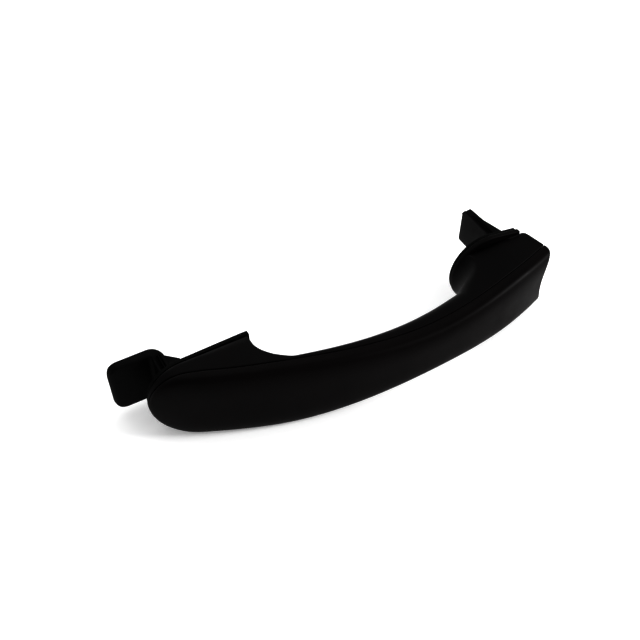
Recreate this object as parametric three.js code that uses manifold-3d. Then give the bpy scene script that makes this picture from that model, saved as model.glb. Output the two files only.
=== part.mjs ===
// Exterior pull handle of a car door, in millimetres.
//
// Frame: X runs from the hinge end to the pull end, Y points into the door, Z is up.
// The origin is the middle of the front seal's face, where it lies on the door skin (Y = 0).
// The grip hooks behind the door skin with its hinge tongue, turns about the rounded nose of that
// tongue and pulls the latch with the leg at its rear end.

import * as THREE from 'three';
import { mergeVertices } from 'three/addons/utils/BufferGeometryUtils.js';
import Module from 'manifold-3d';

const wasm = await Module();
wasm.setup();

// ---------------------------------------------------------------- driving dimensions

const FIT = 0.3;                  // gap between two pieces that touch
const SEAT_SPACING = 130;         // front seat centre to rear seat centre

// front seat, the flat block ahead of the finger gap
const FRONT_SEAT_LENGTH = 41;
const FRONT_RADIUS = 15.7;        // the round front end
const SEAT_HALF_HEIGHT = 16.4;    // at the finger gap
const SEAT_EDGE_ROUND = 8;        // superellipse power of the seat's door-side edges

// rear seat, a half disc facing the finger gap
const REAR_SEAT_RADIUS = 16.2;
const REAR_FLANGE = 2;            // thickness of the rear seat's rim
const REAR_REACH = 16.3;          // rear seat centre to the horns of the rear end, at the door skin
const REAR_HALF_HEIGHT = 13.2;
const REAR_RIM = 0.4;             // the flange past the body, at the horns
const CAP_RADIUS = 18;            // round lock cap that the rear end fits round
const CAP_BITE = 5.2;             // depth of the hollow that the cap leaves in the rear end
const CAP_DROP = 1.5;             // middle of the cap below the middle of the handle
const CAP_LEAN = 12.3;            // degrees that the rear end leans out over the cap

// outer face and finger side, two arcs in plan
const BOW_DEPTH = 34.3;           // door skin to the outermost point
const BOW_FRONT_DEPTH = 5.3;      // door skin to the outer face at the front end
const BOW_PEAK_OFFSET = 15.4;     // middle of the seat spacing to the outermost point
const FINGER_RADIUS = 197;
const FINGER_PEAK_OFFSET = 1;     // the same, to the deepest point of the finger side
const FINGER_DEPTH = 20.4;        // door skin to the finger side, at its deepest
const FRONT_SCOOP = 12.5;         // fillet radius from the front seat to the finger side
const REAR_SCOOP = 10.7;          // fillet radius from the rear seat to the finger side
const WAIST_HALF_HEIGHT = 11.4;
const WAIST_OFFSET = 25;          // the same, to the waist
const OUTER_ROUND = 4.2;          // superellipse power of the outer face's edges
const FINGER_ROUND = 3;           // superellipse power of the finger side

// the two mouldings of the grip
const WALL = 2.4;
const COVER_DEPTH = 6.5;          // outer face to the parting line
const RIB_THICKNESS = 1.6;
const RIB_COUNT = 6;

// seals on the door skin
const SEAL_THICKNESS = 1.5;
const SEAL_INSET = 0.5;
const SEAL_LIP = 1.9;             // front seal past the seat, into the finger gap
const SWING_ROOM = 1.4;           // room in the seals for the swinging tongue and leg
const SLOT_SIDE = 0.3;            // room above and below them

// hinge tongue
const NECK_INSET = 10.1;          // front end to the middle of the neck
const NECK_THICKNESS = 5;
const TONGUE_HALF_HEIGHT = 10.7;
const TONGUE_PLATE_Y = 9.9;       // near face of the plate
const TONGUE_PLATE_THICKNESS = 4;
const TONGUE_REACH = 19.3;        // middle of the neck to the nose
const TONGUE_BEND_RADIUS = 5.5;
const SHOULDER_REACH = 4.4;       // neck to the shoulder's edge, which stops the swing on the door
const SHOULDER_Y = 2.7;           // door skin to the shoulder at rest
const SHOULDER_EDGE = 1.6;        // depth of the shoulder's edge
const TONGUE_CORNER = 4.9;
const TONGUE_FOOT_LENGTH = 16.4;  // middle of the neck to the end of the foot
const FOOT_THICKNESS = 3;

// pull leg
const LEG_OFFSET_X = 5;           // rear seat centre to the leg's front face
const LEG_TIP_THICKNESS = 3.2;
const LEG_ROOT_THICKNESS = 4.8;
const LEG_REACH = 22.9;           // past the door skin
const LEG_TOP = 11.4;
const LEG_BOTTOM = -6.3;
const LEG_TIP_SLOPE = 2.4;
const LEG_RIB_THICKNESS = 2.4;    // rib behind the leg, along its top edge
const LEG_RIB_REACH = 7.2;        // leg's front face to the rib's foot, at the door skin
const LEG_RIB_END = 16;           // past the door skin, where the rib runs out
const LEG_FOOT_START = -3;        // both measured from the rear seat centre
const LEG_FOOT_END = 13.5;

// screws
const SCREW_RADIUS = 1.5;
const SCREW_HEAD_RADIUS = 3;
const SCREW_HEAD_HEIGHT = 1.6;
const BOSS_WALL = 1.8;
const COVER_SCREW_INSET_FRONT = 8;   // from the finger gap, in the front seat
const COVER_SCREW_INSET_REAR = 6.7;  // from the finger gap, in the rear seat
const TONGUE_SCREW_OFFSET = 11.4;    // neck to the tongue's screws
const TONGUE_SCREW_Z = 5.6;
const LEG_SCREW_OFFSET_X = 0.8;      // rear seat centre to the leg's screws
const LEG_SCREW_Z = 5.6;
const FOOT_SCREW_LENGTH = 6;

// stiffener and damping pads inside the grip
const STIFFENER_DEPTH = 4.2;      // outer face to the stiffener
const STIFFENER_THICKNESS = 2.4;
const STIFFENER_HALF_HEIGHT = 6;
const STIFFENER_END_GAP = 1.6;    // each seat to the stiffener's end
const PAD_LENGTH = 24;
const PAD_HALF_HEIGHT = 5;
const PAD_INSET = 21;             // each end of the stiffener to the middle of its pad

// ---------------------------------------------------------------- derived places

const FRONT_X = -FRONT_SEAT_LENGTH / 2;
const SEAT_END_X = FRONT_SEAT_LENGTH / 2;
const REAR_X = SEAT_SPACING + REAR_REACH;
const REAR_SEAT_X = SEAT_SPACING - REAR_SEAT_RADIUS;
const MIDDLE_X = SEAT_SPACING / 2;
const BOW_PEAK_X = MIDDLE_X + BOW_PEAK_OFFSET;
const FINGER_PEAK_X = MIDDLE_X + FINGER_PEAK_OFFSET;
const WAIST_X = MIDDLE_X + WAIST_OFFSET;
const BOW_RISE = BOW_DEPTH - BOW_FRONT_DEPTH;
const BOW_RADIUS = ((BOW_PEAK_X - FRONT_X) ** 2 + BOW_RISE ** 2) / (2 * BOW_RISE);
const SEAT_Y = -SEAL_THICKNESS - FIT;
const FLOOR_Y = SEAT_Y - WALL;
const CAP_X = REAR_X - CAP_BITE + CAP_RADIUS;
const TAIL_X = REAR_X + 8;        // past the end of the rear, before the cap cuts it
const NECK_X = FRONT_X + NECK_INSET;
const TONGUE_TIP_X = NECK_X - TONGUE_REACH;
const TONGUE_FOOT_END_X = NECK_X + TONGUE_FOOT_LENGTH;
const TONGUE_SCREW_X = NECK_X + TONGUE_SCREW_OFFSET;
const STIFFENER_START_X = SEAT_END_X + STIFFENER_END_GAP;
const STIFFENER_END_X = REAR_SEAT_X - STIFFENER_END_GAP;
const PAD_XS = [STIFFENER_START_X + PAD_INSET, STIFFENER_END_X - PAD_INSET];

// ---------------------------------------------------------------- how finely it is built

const BIG = 60;                   // past the handle on every side
const GRIP_OVERLAP = 5;           // how far the grip's rings run into each seat
const FIRST_RING = 0.3;           // front end to the first ring
const SMALLEST_HALF = 0.4;        // half the height of the smallest ring
const RING_SIDES = 20;
const SEAT_RINGS = 36;
const SEAT_CROWDING = 1.5;        // draws the rings towards the round front end
const GRIP_RINGS = 32;
const ROUND_STEPS = 16;           // steps in each arc of an outline

// Depth of the outer face in plan, an arc about (BOW_PEAK_X, BOW_RADIUS - BOW_DEPTH).
function outerY(x) {
  const run = x - BOW_PEAK_X;
  return BOW_RADIUS - BOW_DEPTH - Math.sqrt(BOW_RADIUS ** 2 - run ** 2);
}

// Depth of the finger side in plan: an arc, with a quarter round up to each seat.
function fingerY(x) {
  const run = x - FINGER_PEAK_X;
  const arc = FINGER_RADIUS - FINGER_DEPTH - Math.sqrt(FINGER_RADIUS ** 2 - run ** 2);
  const front = THREE.MathUtils.clamp(1 - (x - SEAT_END_X) / FRONT_SCOOP, 0, 1);
  const rear = THREE.MathUtils.clamp(1 - (REAR_SEAT_X - x) / REAR_SCOOP, 0, 1);
  const frontRise = FRONT_SCOOP * (1 - Math.sqrt(1 - front ** 2));
  const rearRise = REAR_SCOOP * (1 - Math.sqrt(1 - rear ** 2));
  return Math.min(arc + frontRise + rearRise, FLOOR_Y);
}

// Half the height at x: round at the front end, a waist in the grip, then the rear height.
function halfHeight(x) {
  const fromFront = x - FRONT_X;
  const seatShare = THREE.MathUtils.clamp((SEAT_END_X - x) / FRONT_SEAT_LENGTH, 0, 1);
  const front = THREE.MathUtils.lerp(SEAT_HALF_HEIGHT, FRONT_RADIUS, seatShare);
  const end = x < WAIST_X ? front : REAR_HALF_HEIGHT;
  const span = x < WAIST_X ? WAIST_X - SEAT_END_X : SEAT_SPACING - WAIST_X;
  const along = THREE.MathUtils.clamp(Math.abs(x - WAIST_X) / span, 0, 1);
  const smooth = THREE.MathUtils.smoothstep(along, 0, 1);
  const height = THREE.MathUtils.lerp(WAIST_HALF_HEIGHT, end, smooth);
  if (fromFront >= FRONT_RADIUS) return height;
  const back = FRONT_RADIUS - Math.max(fromFront, 0);
  return Math.sqrt(FRONT_RADIUS ** 2 - back ** 2);
}

// ---------------------------------------------------------------- solids

// A triangle mesh as a manifold solid.
function solid(geometry) {
  const bare = geometry.clone();
  bare.deleteAttribute('normal');
  bare.deleteAttribute('uv');
  const merged = mergeVertices(bare, 1e-4);
  const vertProperties = new Float32Array(merged.attributes.position.array);
  const triVerts = new Uint32Array(merged.index.array);
  return new wasm.Manifold(new wasm.Mesh({ numProp: 3, vertProperties, triVerts }));
}

// A manifold solid as a three.js geometry.
function geometryOf(body) {
  const mesh = body.getMesh();
  const geometry = new THREE.BufferGeometry();
  const positions = new Float32Array(mesh.vertProperties);
  geometry.setAttribute('position', new THREE.BufferAttribute(positions, 3));
  geometry.setIndex(new THREE.BufferAttribute(new Uint32Array(mesh.triVerts), 1));
  geometry.computeVertexNormals();
  return geometry;
}

function box(x0, x1, y0, y1, z0, z1) {
  const geometry = new THREE.BoxGeometry(x1 - x0, y1 - y0, z1 - z0);
  geometry.translate((x0 + x1) / 2, (y0 + y1) / 2, (z0 + z1) / 2);
  return solid(geometry);
}

// A round pin along Y at (x, z), from y0 to y1.
function pinY(x, z, radius, y0, y1, sides = 20) {
  const geometry = new THREE.CylinderGeometry(radius, radius, y1 - y0, sides);
  geometry.translate(x, (y0 + y1) / 2, z);
  return solid(geometry);
}

// An outline drawn in X and Z, pushed along Y from y0 to y1.
function slabY(shape, y0, y1, curveSegments = ROUND_STEPS) {
  const depth = y1 - y0;
  const geometry = new THREE.ExtrudeGeometry(shape, { depth, bevelEnabled: false, curveSegments });
  geometry.rotateX(Math.PI / 2);
  geometry.translate(0, y1, 0);
  return solid(geometry);
}

// An outline drawn in X and Y, pushed along Z from z0 to z1.
function slabZ(shape, z0, z1, curveSegments = ROUND_STEPS) {
  const depth = z1 - z0;
  const geometry = new THREE.ExtrudeGeometry(shape, { depth, bevelEnabled: false, curveSegments });
  geometry.translate(0, 0, z0);
  return solid(geometry);
}

// A closed skin over rings of points that follow each other along +X.
function loft(rings) {
  const count = rings[0].length;
  const positions = rings.flat().flatMap((point) => [point.x, point.y, point.z]);
  const index = [];
  for (let i = 0; i < rings.length - 1; i += 1) {
    for (let j = 0; j < count; j += 1) {
      const a = i * count + j;
      const b = i * count + (j + 1) % count;
      index.push(a, b, b + count, a, b + count, a + count);
    }
  }
  const last = (rings.length - 1) * count;
  for (let j = 1; j < count - 1; j += 1) {
    index.push(0, j + 1, j, last, last + j, last + j + 1);
  }
  const geometry = new THREE.BufferGeometry();
  geometry.setAttribute('position', new THREE.Float32BufferAttribute(positions, 3));
  geometry.setIndex(index);
  return solid(geometry);
}

// One ring across the handle: a superellipse whose two halves have their own power.
function ring(x, y0, y1, half, outerPower, innerPower) {
  const middle = (y0 + y1) / 2;
  const reach = (y1 - y0) / 2;
  const points = [];
  for (let j = 0; j < RING_SIDES; j += 1) {
    const angle = 2 * Math.PI * (j + 0.5) / RING_SIDES;
    const power = Math.cos(angle) > 0 ? innerPower : outerPower;
    const across = Math.sign(Math.cos(angle)) * Math.abs(Math.cos(angle)) ** (2 / power);
    const up = Math.sign(Math.sin(angle)) * Math.abs(Math.sin(angle)) ** (2 / power);
    points.push(new THREE.Vector3(x, middle + reach * across, half * up));
  }
  return points;
}

// Stations from x0 to x1, closer together near x0 where the front end turns.
function stations(x0, x1, count, crowd = 1) {
  return Array.from({ length: count + 1 }, (_, i) => x0 + (x1 - x0) * (i / count) ** crowd);
}

// The grip's outer form, or the form of its hollow when inset is the wall.
function form(inset) {
  const startX = FRONT_X + 2 * inset + FIRST_RING;
  const seatRings = stations(startX, TAIL_X, SEAT_RINGS, SEAT_CROWDING).map((x) => {
    const half = Math.max(halfHeight(x - inset) - inset, SMALLEST_HALF);
    return ring(x, outerY(x) + inset, SEAT_Y - inset, half, OUTER_ROUND, SEAT_EDGE_ROUND);
  });
  const gripRings = stations(SEAT_END_X - GRIP_OVERLAP, REAR_SEAT_X + GRIP_OVERLAP, GRIP_RINGS).map((x) => {
    const half = halfHeight(x) - inset;
    return ring(x, outerY(x) + inset, fingerY(x) - inset, half, OUTER_ROUND, FINGER_ROUND);
  });
  const frontBlock = box(FRONT_X - 1, SEAT_END_X - inset, -BIG, 1, -BIG, BIG);
  const rearBlock = slabY(rearSeatOutline(-inset, TAIL_X), -BIG, 1);
  const seats = loft(seatRings).intersect(frontBlock.add(rearBlock));
  return seats.add(loft(gripRings)).subtract(lockCap(inset));
}

// The lock cap beside the rear end, grown by gap: a round post that leans away from the grip.
function lockCap(gap) {
  const geometry = new THREE.CylinderGeometry(CAP_RADIUS + gap, CAP_RADIUS + gap, 4 * BIG, 48);
  geometry.rotateZ(THREE.MathUtils.degToRad(CAP_LEAN));
  geometry.translate(CAP_X, 0, -CAP_DROP);
  return solid(geometry);
}

// The rim of the rear seat, wider than the body it stands on.
function rearFlange() {
  return slabY(rearSeatOutline(0, REAR_X), SEAT_Y - REAR_FLANGE, SEAT_Y).subtract(lockCap(0));
}

// The rear seat seen from the door: a half disc and a tail that narrows to tailX; grow moves its edge.
function rearSeatOutline(grow, tailX) {
  const radius = REAR_SEAT_RADIUS + grow;
  const tail = REAR_HALF_HEIGHT + REAR_RIM + grow;
  const taper = Math.atan2(radius - tail, tailX - SEAT_SPACING);
  const shape = new THREE.Shape();
  shape.moveTo(tailX, -tail);
  shape.lineTo(tailX, tail);
  shape.absarc(SEAT_SPACING, 0, radius, Math.PI / 2 - taper, 1.5 * Math.PI + taper, false);
  return shape;
}

// The front seal seen from the door: a half disc and a tail that ends in a lip.
function frontSeatOutline(grow) {
  const radius = FRONT_RADIUS + grow;
  const half = SEAT_HALF_HEIGHT + grow;
  const shape = new THREE.Shape();
  shape.moveTo(SEAT_END_X + SEAL_LIP, -half);
  shape.lineTo(SEAT_END_X + SEAL_LIP, half);
  shape.lineTo(FRONT_X + FRONT_RADIUS, radius);
  shape.absarc(FRONT_X + FRONT_RADIUS, 0, radius, Math.PI / 2, 1.5 * Math.PI, false);
  return shape;
}

// Everything between two depths under the outer face, from x0 to x1.
function layer(depth0, depth1, x0, x1, halfZ) {
  const shape = new THREE.Shape();
  const centreY = BOW_RADIUS - BOW_DEPTH;
  const near = BOW_RADIUS - depth0;
  const far = BOW_RADIUS - depth1;
  const start = -Math.acos((x0 - BOW_PEAK_X) / BOW_RADIUS);
  const end = -Math.acos((x1 - BOW_PEAK_X) / BOW_RADIUS);
  shape.absarc(BOW_PEAK_X, centreY, near, start, end, false);
  shape.absarc(BOW_PEAK_X, centreY, far, end, start, true);
  return slabZ(shape, -halfZ, halfZ, 36);
}

// A screw along Y: head towards the door at headY, shank away from it.
function screw(x, z, headY, length) {
  const head = pinY(x, z, SCREW_HEAD_RADIUS, headY - SCREW_HEAD_HEIGHT, headY);
  const neckY = headY - SCREW_HEAD_HEIGHT;
  const shank = pinY(x, z, SCREW_RADIUS, neckY - length, neckY + 0.2);
  return head.add(shank);
}

// Room for such a screw in the piece it passes through.
function screwRoom(x, z, headY, length) {
  const head = pinY(x, z, SCREW_HEAD_RADIUS + FIT, headY - SCREW_HEAD_HEIGHT - FIT, headY + 2);
  const shank = pinY(x, z, SCREW_RADIUS + FIT, headY - SCREW_HEAD_HEIGHT - length - FIT, headY);
  return head.add(shank);
}

// ---------------------------------------------------------------- the grip's two mouldings

const outside = form(0).add(rearFlange());
const hollow = form(WALL);
const room = form(WALL + FIT);
const midWall = form(WALL / 2);
const coverSide = layer(-BIG, COVER_DEPTH - FIT / 2, FRONT_X - 30, REAR_X + 30, BIG);
const headY = SEAT_Y - 0.2;

const coverScrews = [
  { name: 'cover_screw_front', x: SEAT_END_X - COVER_SCREW_INSET_FRONT, z: 0 },
  { name: 'cover_screw_rear', x: REAR_SEAT_X + COVER_SCREW_INSET_REAR, z: 0 },
].map((place) => ({ ...place, length: headY - SCREW_HEAD_HEIGHT - outerY(place.x) - WALL - 2 }));

const footScrews = [
  { name: 'tongue_screw_upper', x: TONGUE_SCREW_X, z: TONGUE_SCREW_Z },
  { name: 'tongue_screw_lower', x: TONGUE_SCREW_X, z: -TONGUE_SCREW_Z },
  { name: 'leg_screw_upper', x: SEAT_SPACING + LEG_SCREW_OFFSET_X, z: LEG_SCREW_Z },
  { name: 'leg_screw_lower', x: SEAT_SPACING + LEG_SCREW_OFFSET_X, z: -LEG_SCREW_Z },
].map((place) => ({ ...place, length: FOOT_SCREW_LENGTH }));

function coverSolid() {
  let cover = outside.intersect(coverSide).subtract(hollow);
  for (const { x, z } of coverScrews) {
    const boss = pinY(x, z, SCREW_RADIUS + FIT + BOSS_WALL, -BIG, FLOOR_Y - FIT);
    cover = cover.add(boss.intersect(midWall));
  }
  for (const { x, z, length } of coverScrews) {
    cover = cover.subtract(screwRoom(x, z, headY, length));
  }
  return cover.subtract(neckOpening());
}

function carrierSolid() {
  const carrierSide = layer(COVER_DEPTH + FIT / 2, BIG, FRONT_X - 30, REAR_X + 30, BIG);
  let carrier = outside.intersect(carrierSide).subtract(hollow);
  const ribsSide = layer(STIFFENER_DEPTH + STIFFENER_THICKNESS + FIT, BIG, FRONT_X - 30, REAR_X + 30, BIG);
  const pitch = (STIFFENER_END_X - STIFFENER_START_X) / (RIB_COUNT + 1);
  for (let i = 1; i <= RIB_COUNT; i += 1) {
    const x = STIFFENER_START_X + i * pitch;
    const rib = box(x - RIB_THICKNESS / 2, x + RIB_THICKNESS / 2, -BIG, 0, -BIG, BIG);
    carrier = carrier.add(rib.intersect(midWall).intersect(ribsSide).intersect(carrierSide));
  }
  for (const { x, z, length } of [...coverScrews, ...footScrews]) {
    carrier = carrier.subtract(screwRoom(x, z, headY, length));
  }
  return carrier.subtract(neckOpening()).subtract(legOpening());
}

// A blade that passes the handle's floor, joined to what its foot can fill inside the hollow.
function insert(blade, foot) {
  const pastFloor = box(-BIG, 4 * BIG, FLOOR_Y - 2 * FIT, BIG, -BIG, BIG);
  return blade.intersect(pastFloor).add(blade.add(foot).intersect(room));
}

// ---------------------------------------------------------------- hinge tongue

function neckOpening() {
  const x0 = NECK_X - NECK_THICKNESS / 2 - FIT;
  const x1 = NECK_X + NECK_THICKNESS / 2 + FIT;
  const tall = TONGUE_HALF_HEIGHT + FIT;
  return box(x0, x1, FLOOR_Y - 3 * FIT, 1, -tall, tall);
}

// The L in plan: neck with its shoulder, outer bend, plate and rounded nose.
function tongueOutline() {
  const right = NECK_X + NECK_THICKNESS / 2;
  const left = NECK_X - NECK_THICKNESS / 2;
  const plateFar = TONGUE_PLATE_Y + TONGUE_PLATE_THICKNESS;
  const nose = TONGUE_PLATE_THICKNESS / 2;
  const inner = TONGUE_BEND_RADIUS / 4;
  const shape = new THREE.Shape();
  shape.moveTo(left, FLOOR_Y - FIT - FOOT_THICKNESS);
  shape.lineTo(right, FLOOR_Y - FIT - FOOT_THICKNESS);
  shape.lineTo(right, SHOULDER_Y);
  shape.lineTo(right + SHOULDER_REACH, SHOULDER_Y);
  shape.lineTo(right + SHOULDER_REACH, SHOULDER_Y + SHOULDER_EDGE);
  shape.lineTo(right, plateFar - TONGUE_BEND_RADIUS);
  const bend = TONGUE_BEND_RADIUS;
  shape.absarc(right - bend, plateFar - bend, bend, 0, Math.PI / 2, false);
  shape.absarc(TONGUE_TIP_X + nose, plateFar - nose, nose, Math.PI / 2, 1.5 * Math.PI, false);
  shape.absarc(left - inner, TONGUE_PLATE_Y - inner, inner, Math.PI / 2, 0, true);
  return shape;
}

// The plate seen from the door's inside, with round corners at the nose.
function tongueFace() {
  const tall = TONGUE_HALF_HEIGHT;
  const corner = TONGUE_CORNER;
  const shape = new THREE.Shape();
  shape.moveTo(TONGUE_FOOT_END_X, -tall);
  shape.lineTo(TONGUE_FOOT_END_X, tall);
  shape.absarc(TONGUE_TIP_X + corner, tall - corner, corner, Math.PI / 2, Math.PI, false);
  shape.absarc(TONGUE_TIP_X + corner, corner - tall, corner, Math.PI, 1.5 * Math.PI, false);
  return shape;
}

function tongueSolid() {
  const blade = slabZ(tongueOutline(), -BIG, BIG, 8).intersect(slabY(tongueFace(), -BIG, BIG, 8));
  const footX = NECK_X - NECK_THICKNESS / 2;
  const tall = TONGUE_HALF_HEIGHT;
  const foot = box(footX, TONGUE_FOOT_END_X, FLOOR_Y - FIT - FOOT_THICKNESS, FLOOR_Y - FIT, -tall, tall);
  let tongue = insert(blade, foot);
  for (const { x, z, length } of footScrews.slice(0, 2)) {
    tongue = tongue.subtract(screwRoom(x, z, headY, length));
  }
  return tongue;
}

// ---------------------------------------------------------------- pull leg

// The leg in plan: straight on the finger side, tapered on the rear side.
function legOutline() {
  const front = SEAT_SPACING + LEG_OFFSET_X;
  const foot = FLOOR_Y - FIT - FOOT_THICKNESS;
  const shape = new THREE.Shape();
  shape.moveTo(front, foot);
  shape.lineTo(front + LEG_ROOT_THICKNESS, foot);
  shape.lineTo(front + LEG_ROOT_THICKNESS, 0);
  shape.lineTo(front + LEG_TIP_THICKNESS, LEG_REACH);
  shape.lineTo(front, LEG_REACH);
  return shape;
}

// The rib in plan: a wedge that runs out towards the tip.
function ribOutline() {
  const front = SEAT_SPACING + LEG_OFFSET_X;
  const foot = FLOOR_Y - FIT - FOOT_THICKNESS;
  const shape = new THREE.Shape();
  shape.moveTo(front, foot);
  shape.lineTo(front + LEG_RIB_REACH, foot);
  shape.lineTo(front + LEG_RIB_REACH, 0);
  shape.lineTo(front + LEG_TIP_THICKNESS, LEG_RIB_END);
  shape.lineTo(front, LEG_RIB_END);
  return shape;
}

// The leg seen along the handle, with its sloped tip.
function legFace() {
  const shape = new THREE.Shape();
  const root = FLOOR_Y - FIT - FOOT_THICKNESS;
  shape.moveTo(root, LEG_BOTTOM);
  shape.lineTo(LEG_REACH - 1, LEG_BOTTOM);
  shape.lineTo(LEG_REACH, LEG_BOTTOM + 1);
  shape.lineTo(LEG_REACH, LEG_TOP - LEG_TIP_SLOPE - 1);
  shape.lineTo(LEG_REACH - LEG_TIP_SLOPE, LEG_TOP);
  shape.lineTo(root, LEG_TOP);
  return shape;
}

function legOpening() {
  const front = SEAT_SPACING + LEG_OFFSET_X - FIT;
  const rear = front + LEG_ROOT_THICKNESS + 2 * FIT;
  const ribRear = front + LEG_RIB_REACH + 2 * FIT;
  const ribBottom = LEG_TOP - LEG_RIB_THICKNESS - FIT;
  const blade = box(front, rear, FLOOR_Y - 3 * FIT, 1, LEG_BOTTOM - FIT, LEG_TOP + FIT);
  return blade.add(box(front, ribRear, FLOOR_Y - 3 * FIT, 1, ribBottom, LEG_TOP + FIT));
}

function legSolid() {
  const face = new THREE.ExtrudeGeometry(legFace(), { depth: 2 * BIG, bevelEnabled: false });
  face.applyMatrix4(new THREE.Matrix4().makeBasis(
    new THREE.Vector3(0, 1, 0), new THREE.Vector3(0, 0, 1), new THREE.Vector3(1, 0, 0)));
  face.translate(SEAT_SPACING - BIG, 0, 0);
  const rib = slabZ(ribOutline(), LEG_TOP - LEG_RIB_THICKNESS, LEG_TOP);
  const blade = slabZ(legOutline(), -BIG, BIG).add(rib).intersect(solid(face));
  const foot = box(SEAT_SPACING + LEG_FOOT_START, SEAT_SPACING + LEG_FOOT_END,
    FLOOR_Y - FIT - FOOT_THICKNESS, FLOOR_Y - FIT, -LEG_TOP, LEG_TOP);
  let leg = insert(blade, foot);
  for (const { x, z, length } of footScrews.slice(2)) {
    leg = leg.subtract(screwRoom(x, z, headY, length));
  }
  return leg;
}

// ---------------------------------------------------------------- seals

function frontSealSolid() {
  const pad = slabY(frontSeatOutline(-SEAL_INSET), -SEAL_THICKNESS, 0);
  const slotFront = NECK_X - NECK_THICKNESS / 2 - SWING_ROOM - FIT;
  const slotRear = NECK_X + NECK_THICKNESS / 2 + 2 * FIT;
  const tall = TONGUE_HALF_HEIGHT + SLOT_SIDE;
  return pad.subtract(box(slotFront, slotRear, -BIG, 1, -tall, tall));
}

function rearSealSolid() {
  const front = SEAT_SPACING + LEG_OFFSET_X;
  const rear = front + LEG_ROOT_THICKNESS;
  const pad = slabY(rearSeatOutline(-SEAL_INSET, REAR_X - SEAL_INSET), -SEAL_THICKNESS, 0);
  const top = LEG_TOP + SLOT_SIDE;
  const blade = box(front - SWING_ROOM, rear + SWING_ROOM / 2, -BIG, 1, LEG_BOTTOM - SLOT_SIDE, top);
  const ribRear = front + LEG_RIB_REACH + SLOT_SIDE;
  const ribBottom = LEG_TOP - LEG_RIB_THICKNESS - SLOT_SIDE;
  const slot = blade.add(box(front, ribRear, -BIG, 1, ribBottom, top));
  return pad.subtract(lockCap(SEAL_INSET)).subtract(slot);
}

// ---------------------------------------------------------------- stiffener and pads

function stiffenerSolid() {
  const far = STIFFENER_DEPTH + STIFFENER_THICKNESS;
  const bar = layer(STIFFENER_DEPTH, far, STIFFENER_START_X, STIFFENER_END_X, STIFFENER_HALF_HEIGHT);
  return bar.intersect(room);
}

function padSolid(x) {
  const start = x - PAD_LENGTH / 2;
  const pad = layer(WALL + FIT, STIFFENER_DEPTH - FIT, start, start + PAD_LENGTH, PAD_HALF_HEIGHT);
  return pad.intersect(room);
}

// ---------------------------------------------------------------- materials and assembly

const blackPlastic = { color: 0x0d0d0e, roughness: 0.42, metalness: 0 };
const filledNylon = { color: 0x131314, roughness: 0.55, metalness: 0 };
const sealRubber = { color: 0x101211, roughness: 0.8, metalness: 0 };
const zincSteel = { color: 0x9a9ea2, roughness: 0.35, metalness: 1 };
const greyFoam = { color: 0x4a4a4c, roughness: 0.95, metalness: 0 };

const group = new THREE.Group();

function addPiece(name, body, finish) {
  const mesh = new THREE.Mesh(geometryOf(body), new THREE.MeshStandardMaterial(finish));
  mesh.name = name;
  group.add(mesh);
}

addPiece('outer_cover', coverSolid(), blackPlastic);
addPiece('inner_carrier', carrierSolid(), blackPlastic);
addPiece('hinge_tongue', tongueSolid(), filledNylon);
addPiece('pull_leg', legSolid(), filledNylon);
addPiece('front_seal', frontSealSolid(), sealRubber);
addPiece('rear_seal', rearSealSolid(), sealRubber);
addPiece('stiffener_bar', stiffenerSolid(), zincSteel);
PAD_XS.forEach((x, i) => addPiece(`damping_pad_${i + 1}`, padSolid(x), greyFoam));
for (const { name, x, z, length } of [...coverScrews, ...footScrews]) {
  addPiece(name, screw(x, z, headY, length), zincSteel);
}

export default group;
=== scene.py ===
"""Looks of the car door handle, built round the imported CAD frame.

Shapes are worked out in millimetres with numpy and put into the meshes in metres.
Frame: X runs from the hinge end to the pull end, Y points into the door, Z is up.
"""

import math

import bmesh
import bpy
import numpy as np
from mathutils import Matrix, Vector


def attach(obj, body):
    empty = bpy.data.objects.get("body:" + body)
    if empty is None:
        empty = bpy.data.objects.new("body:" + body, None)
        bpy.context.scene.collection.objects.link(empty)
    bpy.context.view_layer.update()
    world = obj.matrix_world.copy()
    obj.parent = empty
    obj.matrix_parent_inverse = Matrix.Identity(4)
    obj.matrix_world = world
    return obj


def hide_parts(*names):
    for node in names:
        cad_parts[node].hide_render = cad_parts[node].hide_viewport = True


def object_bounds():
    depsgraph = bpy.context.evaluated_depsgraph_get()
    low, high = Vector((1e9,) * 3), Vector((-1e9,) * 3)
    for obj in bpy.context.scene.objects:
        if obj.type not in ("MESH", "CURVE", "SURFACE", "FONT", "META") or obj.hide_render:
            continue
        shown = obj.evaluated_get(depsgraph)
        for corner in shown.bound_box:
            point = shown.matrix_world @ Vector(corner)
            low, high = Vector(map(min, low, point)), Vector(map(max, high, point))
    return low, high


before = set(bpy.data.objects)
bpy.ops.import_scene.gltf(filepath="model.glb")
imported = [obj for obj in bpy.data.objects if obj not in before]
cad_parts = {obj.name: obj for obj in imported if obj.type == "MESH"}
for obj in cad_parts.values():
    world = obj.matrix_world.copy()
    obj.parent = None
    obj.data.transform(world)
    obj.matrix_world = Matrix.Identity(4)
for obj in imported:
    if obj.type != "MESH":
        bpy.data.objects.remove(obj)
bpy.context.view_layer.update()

MM = 0.001

# ---------------------------------------------------------------- sizes, in millimetres

SEAT_SPACING = 130.0
PARTING_GAP = 0.3
WALL = 2.4
SEAT_Y = -1.8                    # door side of the two seats
FLOOR_Y = -4.2                   # inside of their walls

# front seat
FRONT_X = -20.5
FRONT_RADIUS = 15.7
NOSE_X = FRONT_X + FRONT_RADIUS  # centre of the round front end
SEAT_END_X = 20.5
SEAT_HALF_HEIGHT = 16.4
LIP_EDGE = 0.4                   # rounding of the seat's edge at the finger gap

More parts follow.
